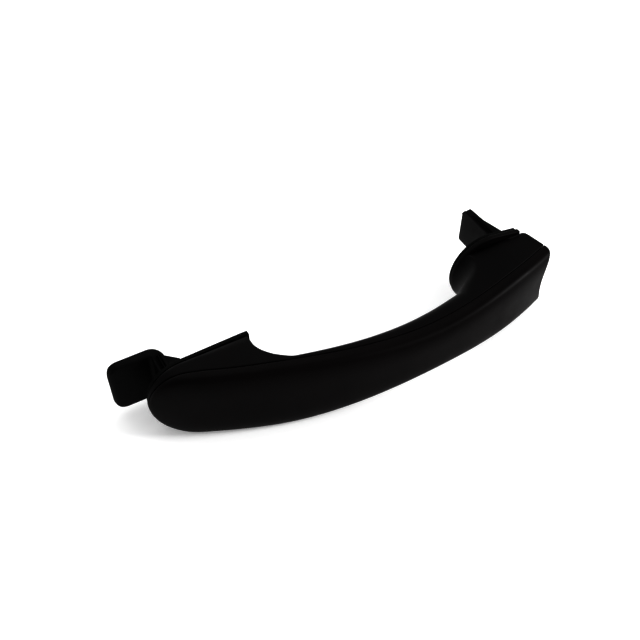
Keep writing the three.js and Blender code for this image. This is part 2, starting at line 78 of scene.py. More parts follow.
# rear seat and rear end
REAR_SEAT_RADIUS = 16.2
REAR_SEAT_X = SEAT_SPACING - REAR_SEAT_RADIUS
REAR_X = 146.3
REAR_HALF_HEIGHT = 13.2
REAR_TAIL_HALF_HEIGHT = 13.6
REAR_TOP_DROP = 0.8              # how far the top edge comes down at the rear end
REAR_TOP_RUN = 20.0              # length over which it does
REAR_FLANGE = 2.0
REAR_CREST_Y = SEAT_Y - REAR_FLANGE / 2  # the tail's crest, buried in the flange
CAP_RADIUS = 18.0
CAP_X = 159.1
CAP_DROP = 2.3
CAP_LEAN = math.radians(12.3)
HORN_EDGE = 1.1                  # rounding where the outer face meets the hollow of the rear end
HORN_START = 1.0                 # rear end to the last station before that rounding

# grip
BOW_RADIUS = 190.0
BOW_PEAK_X = 80.4
BOW_DEPTH = 34.3
FINGER_RADIUS = 197.0
FINGER_PEAK_X = 63.5
FINGER_DEPTH = 20.6
SCOOP_START_X = 21.0             # where the finger side falls away from the front seat
FRONT_SCOOP = 11.5
REAR_SCOOP = 9.0
WAIST_X = 90.0
WAIST_HALF_HEIGHT = 11.4
COVER_DEPTH = 6.5                # outer face to the parting line
EDGE = 0.35                      # rounding along the parting line
WIDEST_DEPTH = 7.2               # outer face to the widest line of the handle
WIDEST_CLEARANCE = 0.25          # the least that it may be, past the wall
WIDEST_BLEND = 6.0               # power that blends it into half the depth at the nose
THINNEST = 0.2                   # least depth from the widest line to either face
BEND_IN_TAIL = 16.0              # lengths over which the rings straighten out, past the rear seat's
BEND_IN_GRIP = 14.0              # half disc and ahead of it

# superellipse powers of the rings
OUTER_ROUND = 4.2
FINGER_ROUND = 2.9
SEAT_ROUND = 14.0
NOSE_ROUND = 4

# seals
SEAL_THICKNESS = 1.5
SEAL_INSET = 0.5
SEAL_LIP = 1.9
SEAL_EDGE = 0.45
SEAL_CORNER = 0.6
SEAL_SLOT_CORNER = 0.8
LEAST_PAD = 0.1                  # width that a seal keeps where its slot meets its rim
SWING_ROOM = 1.4

# hinge tongue
NECK_X = -10.4
NECK_THICKNESS = 5.0
NECK_LEFT = NECK_X - NECK_THICKNESS / 2
NECK_RIGHT = NECK_X + NECK_THICKNESS / 2
TONGUE_HALF_HEIGHT = 10.7
TONGUE_PLATE_Y = 9.9
TONGUE_PLATE_THICKNESS = 4.0
TONGUE_FAR_Y = TONGUE_PLATE_Y + TONGUE_PLATE_THICKNESS
TONGUE_TIP_X = -29.7
TONGUE_BEND = 5.5
TONGUE_CORNER = 4.9
TONGUE_EDGE = 0.9
TONGUE_FOOT_END_X = 6.0
PLATE_EXTRA = 0.7                # half height of the plate past that of the neck
PLATE_START_Y = 8.6              # where the neck starts to grow into the plate
PLATE_RUN = 5.3
SHOULDER_REACH = 4.4
SHOULDER_Y = 2.7
SHOULDER_DEPTH = 1.6             # depth of its outer edge
SHOULDER_EDGE = 0.6
SHOULDER_ROOT = 2.6              # how far it starts inside the neck
SHOULDER_PAST_BEND = 2.5         # how far it runs past the outer bend, inside the plate
SHOULDER_RUN_OUT = 1.35          # share of its slope at which it stops sinking in
FOOT_TOP = -4.5
FOOT_THICKNESS = 3.0
FOOT_Y = FOOT_TOP - FOOT_THICKNESS
FOOT_BEND = 3.0
FOOT_FILLET = 1.2

# pull leg
LEG_FRONT_X = 135.0
LEG_TIP_THICKNESS = 3.2
LEG_ROOT_THICKNESS = 4.8
LEG_REACH = 22.9
LEG_TOP = 11.4
LEG_BOTTOM = -6.3
LEG_TIP_SLOPE = 2.4              # length of the slanted corner at the tip
LEG_TIP_DROP = 3.4               # how far that corner comes down
LEG_TIP_RISE = 1.0               # the same for the short corner below
LEG_FILLET = 1.0
LEG_WIDENING = 1.5               # height over which the foot narrows to the leg
LEG_EDGE = 0.5
LEG_FOOT_X = 127.0
LEG_RIB_THICKNESS = 2.4
LEG_RIB_REACH = 7.2
LEG_RIB_END = 16.0
LEG_RIB_EDGE = 0.4
LEG_RIB_ROOT = 1.2               # how far it starts inside the leg
TIP_ROUND = 0.5                  # rounding at the ends of the leg and the shoulder
HAIR = 0.02                      # keeps two joined faces from lying in one plane

# ---------------------------------------------------------------- how finely the surfaces are built

COVER_STATIONS = 130
SEAT_STATIONS = 25
LIP_STATIONS = 7
SCOOP_STATIONS = 22
GRIP_STATIONS = 56
TAIL_STATIONS = 40
HORN_STATIONS = 5
NOSE_RAYS = 47
RING_STEPS = 23
REAR_FACE_ROWS = 12
EDGE_ROWS = (0.0, 0.02, 0.07, 0.16, EDGE, 0.9)  # depths from the parting line of the first rows
EDGE_PASSES = 3
SETTLE_PASSES = 4
RAYS = 241                       # round a plate or a seal
RIM_STEPS = 5                    # in its rounded edge
CORNER_STEPS = 8
DISC_STEPS = 90
TAIL_STEPS = 60
NEARLY_WHOLE = 0.98              # the largest share of a ring's depth at which it starts
QUARTER = math.pi / 2
TURN = 2 * math.pi
CREASE = 35.0                    # degrees past which an edge is sharp
MERGE_AT = 2e-6                  # metres
NO_LENGTH = 1e-7

# ---------------------------------------------------------------- curves of the handle


def smooth(t):
    """Three t squared less two t cubed, held at 0 and 1 outside its range."""
    t = np.clip(t, 0.0, 1.0)
    return t * t * (3.0 - 2.0 * t)


def outer_depth(x):
    """Y of the outer face: an arc of the bow radius about the outermost point."""
    return BOW_RADIUS - BOW_DEPTH - np.sqrt(BOW_RADIUS**2 - (x - BOW_PEAK_X) ** 2)


def finger_depth(x, inset):
    """Y of the finger side: an arc, with a quarter round rising to each seat."""
    arc = FINGER_RADIUS - FINGER_DEPTH - np.sqrt(FINGER_RADIUS**2 - (x - FINGER_PEAK_X) ** 2)
    front = np.clip(1.0 - (x - SCOOP_START_X + inset) / (FRONT_SCOOP + inset), 0.0, 1.0)
    rear = np.clip(1.0 - (REAR_SEAT_X + inset - x) / (REAR_SCOOP + inset), 0.0, 1.0)
    front_rise = (FRONT_SCOOP + inset) * (1.0 - np.sqrt(1.0 - front**2))
    rear_rise = (REAR_SCOOP + inset) * (1.0 - np.sqrt(1.0 - rear**2))
    return np.minimum(arc - inset + front_rise + rear_rise, FLOOR_Y - inset)


def widest_depth(x, inset):
    """Y of the widest line: a fixed depth under the outer face, or half way to the seat at the nose.

    The inverse powers of the two depths are added, and the root of the sum turned over again.
    """
    half_way = (SEAT_Y - outer_depth(x)) / 2.0
    soft = (half_way**-WIDEST_BLEND + WIDEST_DEPTH**-WIDEST_BLEND) ** (-1.0 / WIDEST_BLEND)
    return outer_depth(x) + np.maximum(soft, inset + WIDEST_CLEARANCE)


def depth_layers(x, inset, rounded, deep):
    """Y of the outer face, the widest line and the door side, kept a thin layer apart."""
    outer = outer_depth(x) + inset + rounded
    centre = np.maximum(widest_depth(x, inset), outer + THINNEST)
    return outer, centre, np.maximum(deep - rounded, centre + THINNEST)


def half_height(x):
    """Half the height: the front seat's, down to a waist in the grip, up to the rear seat's."""
    share = np.clip((SEAT_END_X - x) / (SEAT_END_X - FRONT_X), 0.0, 1.0)
    front = SEAT_HALF_HEIGHT + (FRONT_RADIUS - SEAT_HALF_HEIGHT) * share
    end = np.where(x < WAIST_X, front, REAR_HALF_HEIGHT)
    span = np.where(x < WAIST_X, WAIST_X - SEAT_END_X, SEAT_SPACING - WAIST_X)
    return WAIST_HALF_HEIGHT + (end - WAIST_HALF_HEIGHT) * smooth(np.abs(x - WAIST_X) / span)


def cap_face(y, z, inset):
    """X of the hollow rear end: the near side of a leaning round post, grown by the inset."""
    across = np.sqrt(np.maximum((CAP_RADIUS + inset) ** 2 - (z + CAP_DROP) ** 2, 0.0))
    return CAP_X - y * math.tan(CAP_LEAN) - across / math.cos(CAP_LEAN)


# ---------------------------------------------------------------- grids and meshes


def grid_faces(start, rows, columns, flip=False):
    """Quads over a grid of points numbered row by row from start."""
    i, j = np.meshgrid(np.arange(rows - 1), np.arange(columns - 1), indexing="ij")
    a = (start + i * columns + j).ravel()
    quads = np.stack([a, a + columns, a + columns + 1, a + 1], axis=1)
    return quads[:, ::-1] if flip else quads


def shade(mesh):
    """Smooth shading with sharp edges past the crease."""
    mesh.polygons.foreach_set("use_smooth", np.ones(len(mesh.polygons), dtype=bool))
    mesh.set_sharp_from_angle(angle=math.radians(CREASE))
    return mesh


class Sheets:
    """Collects grids of points, then makes one closed mesh of them."""

    def __init__(self):
        self.points = []
        self.faces = []
        self.count = 0

    def add(self, grid, flip=False):
        """One grid, shape rows x columns x 3."""
        rows, columns = grid.shape[:2]
        self.points.append(grid.reshape(-1, 3))
        self.faces.append(grid_faces(self.count, rows, columns, flip))
        self.count += rows * columns

    def join(self, first, second, flip=False):
        """A strip between two lines of equally many points."""
        self.add(np.stack([first, second]), flip)

    def mesh(self, name):
        """The mesh in metres, with its seams merged, its faces outwards and its edges split at a crease."""
        mesh = bpy.data.meshes.new(name)
        points = np.concatenate(self.points) * MM
        mesh.from_pydata(points.tolist(), [], np.concatenate(self.faces).tolist())
        built = bmesh.new()
        built.from_mesh(mesh)
        bmesh.ops.remove_doubles(built, verts=built.verts, dist=MERGE_AT)
        bmesh.ops.dissolve_degenerate(built, edges=built.edges, dist=NO_LENGTH)
        bmesh.ops.recalc_face_normals(built, faces=built.faces)
        if built.calc_volume(signed=True) < 0:
            bmesh.ops.reverse_faces(built, faces=built.faces)
        built.to_mesh(mesh)
        built.free()
        return shade(mesh)


def place(name, mesh, body, finish, node):
    """Puts a finished mesh on its body, with its finish, in place of its CAD node."""
    piece = bpy.data.objects.new(name, mesh)
    bpy.context.collection.objects.link(piece)
    piece.data.materials.append(plastics[finish])
    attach(piece, body)
    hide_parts(node)


def solve(mesh, name, tools):
    """The mesh after each tool mesh is joined to it or cut out of it."""
    piece = bpy.data.objects.new(name, mesh)
    bpy.context.collection.objects.link(piece)
    helpers = []
    for operation, tool in tools:
        helper = bpy.data.objects.new(name + "_tool", tool)
        bpy.context.collection.objects.link(helper)
        step = piece.modifiers.new(operation, "BOOLEAN")
        step.operation = operation
        step.solver = "EXACT"
        step.object = helper
        helpers.append(helper)
    bpy.context.view_layer.update()
    depsgraph = bpy.context.evaluated_depsgraph_get()
    solved = bpy.data.meshes.new_from_object(piece.evaluated_get(depsgraph))
    solved.name = name
    for helper in [piece] + helpers:
        bpy.data.objects.remove(helper)
    return shade(solved)


# ---------------------------------------------------------------- the two mouldings of the grip


def edge_inset(distance, radius):
    """How far a rounded edge steps back at a distance from the edge: a quarter circle."""
    away = np.clip(radius - distance, 0.0, radius)
    return radius - np.sqrt(np.maximum(radius**2 - away**2, 0.0))


def horn_stations():
    """Distances from the rear end and steps back of its rounded edge, along a quarter circle."""
    turn = np.linspace(0.0, QUARTER, HORN_STATIONS)
    return HORN_EDGE * (1.0 - np.sin(turn)), HORN_EDGE * (1.0 - np.cos(turn))


def crest_path(inset, rear_crest, cover):
    """Stations along the middle of the handle, from the round front end to the rear end.

    Each has x, the depth of the door side, its superellipse power, how far it bends round the rear
    seat's half disc, and how far its edge is rounded back. The inside of a wall has no rounded edge.
    """
    back, step = horn_stations()
    if inset > 0:
        step = np.zeros_like(step)
    if cover:
        x = np.concatenate([np.linspace(NOSE_X, REAR_X - HORN_START, COVER_STATIONS), REAR_X - back])
        in_grip = (x > SEAT_END_X) & (x < REAR_SEAT_X)
        deep = np.where(in_grip, finger_depth(x, inset), SEAT_Y - inset)
        rounded = np.concatenate([np.zeros(COVER_STATIONS), step])
        return x, deep, np.full_like(x, SEAT_ROUND), np.zeros_like(x), rounded

    end = SCOOP_START_X - inset
    wall = REAR_SEAT_X + inset
    turn = np.linspace(0.0, QUARTER, LIP_STATIONS)
    flat_x = np.linspace(NOSE_X, end - LIP_EDGE, SEAT_STATIONS + 1)[:-1]
    flat_y = np.full(SEAT_STATIONS, SEAT_Y - inset)
    seat_x = np.concatenate([flat_x, end - LIP_EDGE * (1 - np.sin(turn))])
    seat_y = np.concatenate([flat_y, SEAT_Y - inset - LIP_EDGE * (1 - np.cos(turn))])
    scoop_turn = np.linspace(0.0, QUARTER, SCOOP_STATIONS)
    scoop_x = end + (FRONT_SCOOP + inset) * (1.0 - np.cos(scoop_turn))
    grip_x = np.linspace(scoop_x[-1], wall - REAR_SCOOP - inset, GRIP_STATIONS + 2)[1:-1]
    rear_x = wall - (REAR_SCOOP + inset) * (1.0 - np.sin(scoop_turn))
    finger_x = np.concatenate([scoop_x, grip_x, rear_x])
    tail_x = np.concatenate([np.linspace(wall, REAR_X - HORN_START, TAIL_STATIONS), REAR_X - back])
    tail_y = np.full_like(tail_x, rear_crest)

    x = np.concatenate([seat_x, finger_x, tail_x])
    deep = np.concatenate([seat_y, finger_depth(finger_x, inset), tail_y])
    round_front = smooth((x - end) / FRONT_SCOOP)
    round_rear = smooth((wall - x) / REAR_SCOOP)
    power = SEAT_ROUND + (FINGER_ROUND - SEAT_ROUND) * np.minimum(round_front, round_rear)
    on_tail = np.arange(len(x)) >= len(seat_x) + len(finger_x)
    bend_in_tail = 1.0 - smooth((x - wall) / BEND_IN_TAIL)
    bend_in_grip = smooth(1.0 - (wall - x) / BEND_IN_GRIP)
    bend = np.where(on_tail, bend_in_tail, bend_in_grip)
    rounded = np.concatenate([np.zeros(len(x) - len(step)), step])
    return x, deep, power, bend, rounded


def ring_turn(depth, layers, power):
    """The angle round a ring at a depth, one for each station.

    The height over the widest line, as a share of the reach that way, is one leg of the superellipse.
    Its equation gives the other, and the two give the angle.
    """
    outer, centre, inner = layers
    above = centre - depth
    share = above / np.where(above > 0, centre - outer, inner - centre)
    share = np.clip(share, -NEARLY_WHOLE, NEARLY_WHOLE)
    powers = np.where(share > 0, OUTER_ROUND, power)
    across = np.maximum(1.0 - np.abs(share) ** powers, 0.0) ** (1.0 / powers)
    return np.arctan2(across, share)


def rear_face(curve, inset):
    """Half of the hollow rear end: from the last ring straight down to the parting line, on the post."""
    rows = np.linspace(0.0, 1.0, REAR_FACE_ROWS)[:, None]
    y = curve[None, :, 1] + (curve[0, 1] - curve[None, :, 1]) * rows
    z = np.broadcast_to(curve[None, :, 2], y.shape)
    x = np.where(rows > 0, cap_face(y, z, inset), curve[None, :, 0])
    x[:, 0] = curve[0, 0]
    return np.stack([x, y, z], axis=2)


def moulding(inset, rear_crest, cover):
    """One skin of a moulding, and the two halves of its rear face.

    The outline runs along the bottom from the rear to the front, round the front end and back along
    the top. From each outline point a superellipse arc runs to the middle line: its reach across is
    the half height, and its depth is half the depth of the handle at that place. The skin starts at
    the parting line and ends at the middle. The rear rings bend onto the leaning post.
    """
    x, deep, power, bend, rounded = crest_path(inset, rear_crest, cover)
    turn = np.linspace(3 * QUARTER, QUARTER, NOSE_RAYS + 2)[1:-1]
    reach = FRONT_RADIUS - inset + (half_height(NOSE_X) - FRONT_RADIUS) * np.sin(turn) ** NOSE_ROUND
    flat, none = np.zeros_like(turn), np.zeros_like(x)

    middle_x = np.concatenate([x[::-1], np.full_like(turn, NOSE_X), x])
    deep = np.concatenate([deep[::-1], np.full_like(turn, SEAT_Y - inset), deep])
    power = np.concatenate([power[::-1], np.full_like(turn, SEAT_ROUND), power])
    bend = np.concatenate([bend[::-1], flat, bend])
    rounded = np.concatenate([rounded[::-1], flat, rounded])
    side = np.concatenate([-np.ones_like(x), flat, np.ones_like(x)])
    toward_x = np.concatenate([none, reach * np.cos(turn), none])
    toward_z = np.concatenate([none, reach * np.sin(turn), none])
    cap_share = smooth((middle_x - SEAT_SPACING) / (REAR_X - SEAT_SPACING))
    # the same values as columns, for grids with one row per station
    at_power, at_deep, at_rounded, at_bend, at_cap, at_side, at_middle, out_x, out_z = (
        line[:, None]
        for line in (power, deep, rounded, bend, cap_share, side, middle_x, toward_x, toward_z)
    )

    def settle(turn_grid):
        """Points of the rings at these angles, one column per angle.

        The heights depend on x, and x on the heights where the rings bend, so a few passes are made.
        """
        sine, cosine = np.sin(turn_grid), np.cos(turn_grid)
        powers = np.where(cosine > 0, OUTER_ROUND, at_power)
        size = (np.abs(sine) ** powers + np.abs(cosine) ** powers) ** (1 / powers)
        across, depth = sine / size, cosine / size
        at_x = at_middle + across * out_x
        for _ in range(SETTLE_PASSES):
            top_drop = REAR_TOP_DROP * smooth((at_x - SEAT_SPACING) / REAR_TOP_RUN) * (at_side > 0)
            height = (half_height(at_x) - top_drop - inset - at_rounded) * at_side
            z = across * (height + out_z)
            outer, centre, inner = depth_layers(at_x, inset, at_rounded, at_deep)
            y = centre - np.where(depth > 0, centre - outer, inner - centre) * depth
            disc = REAR_SEAT_RADIUS - inset
            bow = disc - np.sqrt(np.maximum(disc**2 - z**2, 1.0))
            cap = cap_face(y, z, inset) - REAR_X
            at_x = at_middle + across * out_x + at_bend * bow + at_cap * cap
        return np.stack([at_x, y, z], axis=2)

    sign = -1.0 if cover else 1.0
    edge_x = middle_x + toward_x
    for _ in range(EDGE_PASSES):
        layers = depth_layers(edge_x, inset, rounded, deep)
        part = np.minimum(outer_depth(edge_x) + COVER_DEPTH, widest_depth(edge_x, 0.0))
        part = part + sign * PARTING_GAP / 2
        edge_x = settle(ring_turn(part, layers, power)[:, None])[:, 0, 0]
    near_edge = np.stack([ring_turn(part + sign * row, layers, power) for row in EDGE_ROWS], axis=1)
    goal = 0.0 if cover else math.pi
    share = np.linspace(0.0, 1.0, RING_STEPS + 1)[1:]
    onward = near_edge[:, -1:] + (goal - near_edge[:, -1:]) * share[None, :]
    skin = settle(np.concatenate([near_edge, onward], axis=1))

    if inset == 0:
        step = np.zeros(skin.shape[1])
        step[: len(EDGE_ROWS)] = edge_inset(np.array(EDGE_ROWS), EDGE)
        middle = np.stack([middle_x, skin[:, 0, 1], np.zeros_like(middle_x)], axis=1)
        outward = skin[:, :1] - middle[:, None]
        outward[..., 1] = 0.0
        outward[side != 0, :, 0] = 0.0
        outward = outward / np.linalg.norm(outward, axis=2, keepdims=True)
        skin = skin - outward * step[None, :, None]
    return skin, [rear_face(skin[row], inset) for row in (0, -1)]


def shell(name, cover, rear_crest, rear_crest_inside):
    """A hollow moulding: an outer skin and an inner skin, joined along the parting line."""
    sheets = Sheets()
    skin, faces = moulding(0.0, rear_crest, cover)
    sheets.add(skin)
    sheets.add(faces[0], flip=True)
    sheets.add(faces[1])
    inner, inner_faces = moulding(WALL, rear_crest_inside, cover)
    sheets.add(inner, flip=True)
    sheets.add(inner_faces[0])
    sheets.add(inner_faces[1], flip=True)
    sheets.join(skin[:, 0], inner[:, 0])
    for one, other in zip(faces, inner_faces):
        sheets.join(one[-1], other[-1])
    return sheets.mesh(name)


# ---------------------------------------------------------------- plates and seals


def outline_radius(points, centre, turn):
    """Distance from the centre to a closed outline in each direction, between close points on it."""
    run = np.linspace(0.0, 1.0, TAIL_STEPS, endpoint=False)
    after = np.roll(points, -1, axis=0)
    dense = (points[:, None] + (after - points)[:, None] * run[None, :, None]).reshape(-1, 2)
    away = dense - np.array(centre)
    angle = np.arctan2(away[:, 1], away[:, 0]) % TURN
    order = np.argsort(angle)
    reach = np.hypot(away[:, 0], away[:, 1])
    return np.interp(turn % TURN, angle[order], reach[order], period=TURN)


def rear_outline(grow):
    """The rear seat from the door: a half disc, then a tail that narrows to the hollow of the rear end."""
    radius, tail = REAR_SEAT_RADIUS + grow, REAR_TAIL_HALF_HEIGHT + grow
    taper = math.atan2(radius - tail, REAR_X - SEAT_SPACING)
    turn = np.linspace(QUARTER - taper, 3 * QUARTER + taper, DISC_STEPS)
    disc = np.stack([SEAT_SPACING + radius * np.cos(turn), radius * np.sin(turn)], axis=1)
    z = np.linspace(-tail, tail, TAIL_STEPS)
    hollow = np.stack([np.minimum(cap_face(SEAT_Y, z, -grow), REAR_X + grow), z], axis=1)
    return np.concatenate([disc, hollow])


def corner_arc(x, z, radius, first):
    """A quarter circle about a point, from the first angle."""
    turn = np.linspace(first, first + QUARTER, CORNER_STEPS)
    return np.stack([x + radius * np.cos(turn), z + radius * np.sin(turn)], axis=1)


def front_outline(grow):
    """The front seal from the door: a half disc, then a tail that ends in a lip."""
    radius, half = FRONT_RADIUS + grow, SEAT_HALF_HEIGHT + grow
    turn = np.linspace(QUARTER, 3 * QUARTER, DISC_STEPS)
    disc = np.stack([NOSE_X + radius * np.cos(turn), radius * np.sin(turn)], axis=1)
    end_x = SEAT_END_X + SEAL_LIP - SEAL_CORNER
    low = corner_arc(end_x, SEAL_CORNER - half, SEAL_CORNER, -QUARTER)
    high = corner_arc(end_x, half - SEAL_CORNER, SEAL_CORNER, 0.0)
    return np.concatenate([disc, low, high])


def rounded_slot(x0, x1, z0, z1, corner):
    """A rectangle with round corners, as a closed outline."""
    left, right, low, high = x0 + corner, x1 - corner, z0 + corner, z1 - corner
    centres = ((right, high), (left, high), (left, low), (right, low))
    arcs = [corner_arc(x, z, corner, i * QUARTER) for i, (x, z) in enumerate(centres)]
    return np.concatenate(arcs)


def plate(outline, y0, y1, edge, centre):
    """A closed plate with round edges: rays from its centre, with a profile round its rim."""
    turn = np.linspace(0.0, TURN, RAYS)
    reach = outline_radius(outline, centre, turn)[:, None]
    arc = np.linspace(0.0, QUARTER, RIM_STEPS)
    out, up = edge * (1 - np.sin(arc)), edge * (1 - np.cos(arc))
    middle = np.zeros_like(reach)
    radius = np.concatenate([middle, reach - np.concatenate([out, up])[None, :], middle], axis=1)
    y = np.concatenate([[y0], y0 + up, y1 - out, [y1]])
    depth = np.broadcast_to(y[None, :], radius.shape)
    x = centre[0] + radius * np.cos(turn)[:, None]
    z = centre[1] + radius * np.sin(turn)[:, None]
    sheets = Sheets()
    sheets.add(np.stack([x, depth, z], axis=2))
    return sheets


def slotted_pad(name, outline, slot, centre, first, last):
    """A flat seal round a slot: rays from the slot's centre, with a closed profile from slot to rim.

    The pad lies between the angles first and last. Where they are a whole turn apart it closes.
    """
    turn = np.linspace(first, last, RAYS)
    hole = outline_radius(slot, centre, turn)[:, None]
    rim = np.maximum(outline_radius(outline, centre, turn)[:, None], hole + LEAST_PAD)
    edge = np.minimum(SEAL_EDGE, (rim - hole) / 3)
    arc = np.linspace(0.0, QUARTER, RIM_STEPS)[None, :]
    out, up = edge * (1 - np.sin(arc)), edge * (1 - np.cos(arc))
    shelf = hole + (rim - hole) * np.array([[0.25, 0.5, 0.75]])
    foot = np.full_like(hole, -SEAL_THICKNESS)
    radius = np.concatenate([hole, hole + up, shelf, rim - up[:, ::-1], rim, hole], axis=1)
    depth = np.concatenate([foot, -out, np.zeros_like(shelf), -out[:, ::-1], foot, foot], axis=1)
    x = centre[0] + radius * np.cos(turn)[:, None]
    z = centre[1] + radius * np.sin(turn)[:, None]
    grid = np.stack([x, depth, z], axis=2)
    sheets = Sheets()
    sheets.add(grid)
    if last - first < TURN - 0.01:
        for line in (grid[0], grid[-1]):
            sheets.join(line, line * [1, 0, 1] - [0, SEAL_THICKNESS, 0])
    return sheets.mesh(name)


# ---------------------------------------------------------------- bars


def blade(name, near, far, low, high, edge):
    """A bar between two plan curves, with a ring of corner arcs at each station.

    The rings run from near to far and from low to high. Each corner's arc is walked from its side to
    its end, so a ring crosses itself at the low far corner and at the high near one.
    """
    arc = np.linspace(QUARTER, 0.0, 6)
    thick = np.linalg.norm(far - near, axis=1)[:, None]
    tall = (high - low)[:, None]
    corner = np.minimum(edge, np.minimum(thick, tall) * 0.49)
    a = corner * (1 - np.sin(arc))[None, :]
    u = corner * (1 - np.cos(arc))[None, :]
    across = np.concatenate([a, thick - a, thick - a, a, a[:, :1]], axis=1)
    up = np.concatenate([u, u, tall - u, tall - u, u[:, :1]], axis=1)
    toward = (far - near) / np.maximum(thick, 1e-9)
    x = near[:, :1] + toward[:, :1] * across
    y = near[:, 1:] + toward[:, 1:] * across
    grid = np.stack([x, y, low[:, None] + up], axis=2)
    sheets = Sheets()
    sheets.add(grid)
    for row in (0, -1):
        middle = np.append((near[row] + far[row]) / 2, 0.0)
        flat = np.broadcast_to(middle, grid[row].shape).copy()
        flat[:, 2] = grid[row][:, 2]
        sheets.join(grid[row], flat)
    return sheets.mesh(name)


def plan(x, y):
    """Points of a plan curve; either may be one number for all."""
    return np.stack(np.broadcast_arrays(x, y), axis=1)


def tongue_height(y):
    """Half the height of the tongue: the neck's, growing to the plate's past the door skin."""
    return TONGUE_HALF_HEIGHT + PLATE_EXTRA * smooth((y - PLATE_START_Y) / PLATE_RUN)


def tongue_curves():
    """Near and far curves of the hinge tongue in plan: foot, neck, bend, plate and rounded nose.

    The bends are quarter circles, and the nose is a half circle as thick as the plate. The height
    falls off along a quarter circle at the tip.
    """
    nose = TONGUE_PLATE_THICKNESS / 2
    bend, inner = TONGUE_BEND, TONGUE_BEND / 4
    foot = np.linspace(TONGUE_FOOT_END_X, NECK_RIGHT + FOOT_FILLET, 6)
    near = [plan(foot, FOOT_Y)]
    far = [plan(foot, FOOT_TOP)]

    turn = np.linspace(0.0, QUARTER, 9)
    out, up = 1 - np.sin(turn), 1 - np.cos(turn)
    near.append(plan(NECK_LEFT + FOOT_BEND * out, FOOT_Y + FOOT_BEND * up))
    far.append(plan(NECK_RIGHT + FOOT_FILLET * out, FOOT_TOP + FOOT_FILLET * up))

    rise = np.linspace(0.0, 1.0, 14)[1:-1]
    near_start, near_end = FOOT_Y + FOOT_BEND, TONGUE_PLATE_Y - inner
    far_start, far_end = FOOT_TOP + FOOT_FILLET, TONGUE_FAR_Y - bend
    near.append(plan(NECK_LEFT, near_start + (near_end - near_start) * rise))
    far.append(plan(NECK_RIGHT, far_start + (far_end - far_start) * rise))

    turn = np.linspace(0.0, QUARTER, 16)
    out, up = 1 - np.sin(turn), 1 - np.cos(turn)
    near.append(plan(NECK_LEFT - inner * up, TONGUE_PLATE_Y - inner * out))
    far.append(plan(NECK_RIGHT - bend * up, TONGUE_FAR_Y - bend * out))

    along = np.linspace(0.0, 1.0, 14)[1:]
    end = TONGUE_TIP_X + TONGUE_CORNER
    near_start, far_start = NECK_LEFT - inner, NECK_RIGHT - bend
    near.append(plan(near_start + (end - near_start) * along, TONGUE_PLATE_Y))
    far.append(plan(far_start + (end - far_start) * along, TONGUE_FAR_Y))

    turn = np.linspace(0.0, QUARTER, 18)[1:]
    tip_x = TONGUE_TIP_X + TONGUE_CORNER * (1 - np.sin(turn))
    reach = np.clip((TONGUE_TIP_X + nose - tip_x) / nose, 0.0, 1.0)
    half = nose * np.sqrt(np.maximum(1 - reach**2, 0.0))
    near.append(plan(tip_x, TONGUE_FAR_Y - nose - half))
    far.append(plan(tip_x, TONGUE_FAR_Y - nose + half))

    near, far = np.concatenate(near), np.concatenate(far)
    back = np.clip(end - near[:, 0], 0.0, TONGUE_CORNER)
    drop = TONGUE_CORNER - np.sqrt(np.maximum(TONGUE_CORNER**2 - back**2, 0.0))
    high = tongue_height(far[:, 1]) - drop
    return near, far, -high, high


def shoulder_curves():
    """Near and far curves of the shoulder in plan: a wedge from the neck that runs out at the outer bend."""
    top = TONGUE_FAR_Y - TONGUE_BEND
    edge_y = SHOULDER_Y + SHOULDER_DEPTH
    slope_y = np.linspace(edge_y, top + SHOULDER_PAST_BEND, 14)[1:]
    y = np.concatenate([np.linspace(SHOULDER_Y, edge_y, 6), slope_y])
    share = np.clip((y - edge_y) / (top - edge_y), 0.0, SHOULDER_RUN_OUT)
    back = edge_inset(y - SHOULDER_Y, TIP_ROUND)
    high = np.full_like(y, TONGUE_HALF_HEIGHT - HAIR)
    near = plan(NECK_RIGHT - SHOULDER_ROOT, y)
    return near, plan(NECK_RIGHT + SHOULDER_REACH * (1.0 - share) - back, y), -high, high


def leg_curves():
    """Front and rear curves of the pull leg in plan, with its low and high edges.

    The leg thins in a straight line, and its end is rounded along a quarter circle.
    """
    foot = np.linspace(LEG_FOOT_X, LEG_FRONT_X - LEG_FILLET, 6)
    near = [plan(foot, FOOT_TOP)]
    far = [plan(foot, FOOT_Y)]

    turn = np.linspace(0.0, QUARTER, 8)
    side, up = np.sin(turn), 1 - np.cos(turn)
    rear = LEG_FRONT_X + LEG_ROOT_THICKNESS
    near.append(plan(LEG_FRONT_X - LEG_FILLET * (1 - side), FOOT_TOP + LEG_FILLET * up))
    far.append(plan(rear - FOOT_BEND * (1 - side), FOOT_Y + FOOT_BEND * up))

    start = FOOT_TOP + LEG_FILLET
    y = start + (LEG_REACH - start) * np.linspace(0.0, 1.0, 40)[1:]
    slope = (LEG_ROOT_THICKNESS - LEG_TIP_THICKNESS) / LEG_REACH
    back = edge_inset(LEG_REACH - y, TIP_ROUND)
    near.append(plan(LEG_FRONT_X + back, y))
    far.append(plan(rear - slope * np.maximum(y, 0.0) - back, np.maximum(y, FOOT_Y + FOOT_BEND)))

    near, far = np.concatenate(near), np.concatenate(far)
    level = near[:, 1]
    widen = 1.0 - smooth((level - FOOT_TOP) / LEG_WIDENING)
    slant = np.clip((level - LEG_REACH + LEG_TIP_SLOPE) / LEG_TIP_SLOPE, 0.0, 1.0)
    rise = np.clip(level - LEG_REACH + LEG_TIP_RISE, 0.0, LEG_TIP_RISE)
    high = LEG_TOP - LEG_TIP_DROP * slant
    low = LEG_BOTTOM + (-LEG_TOP - LEG_BOTTOM) * widen + rise
    return near, far, low, high


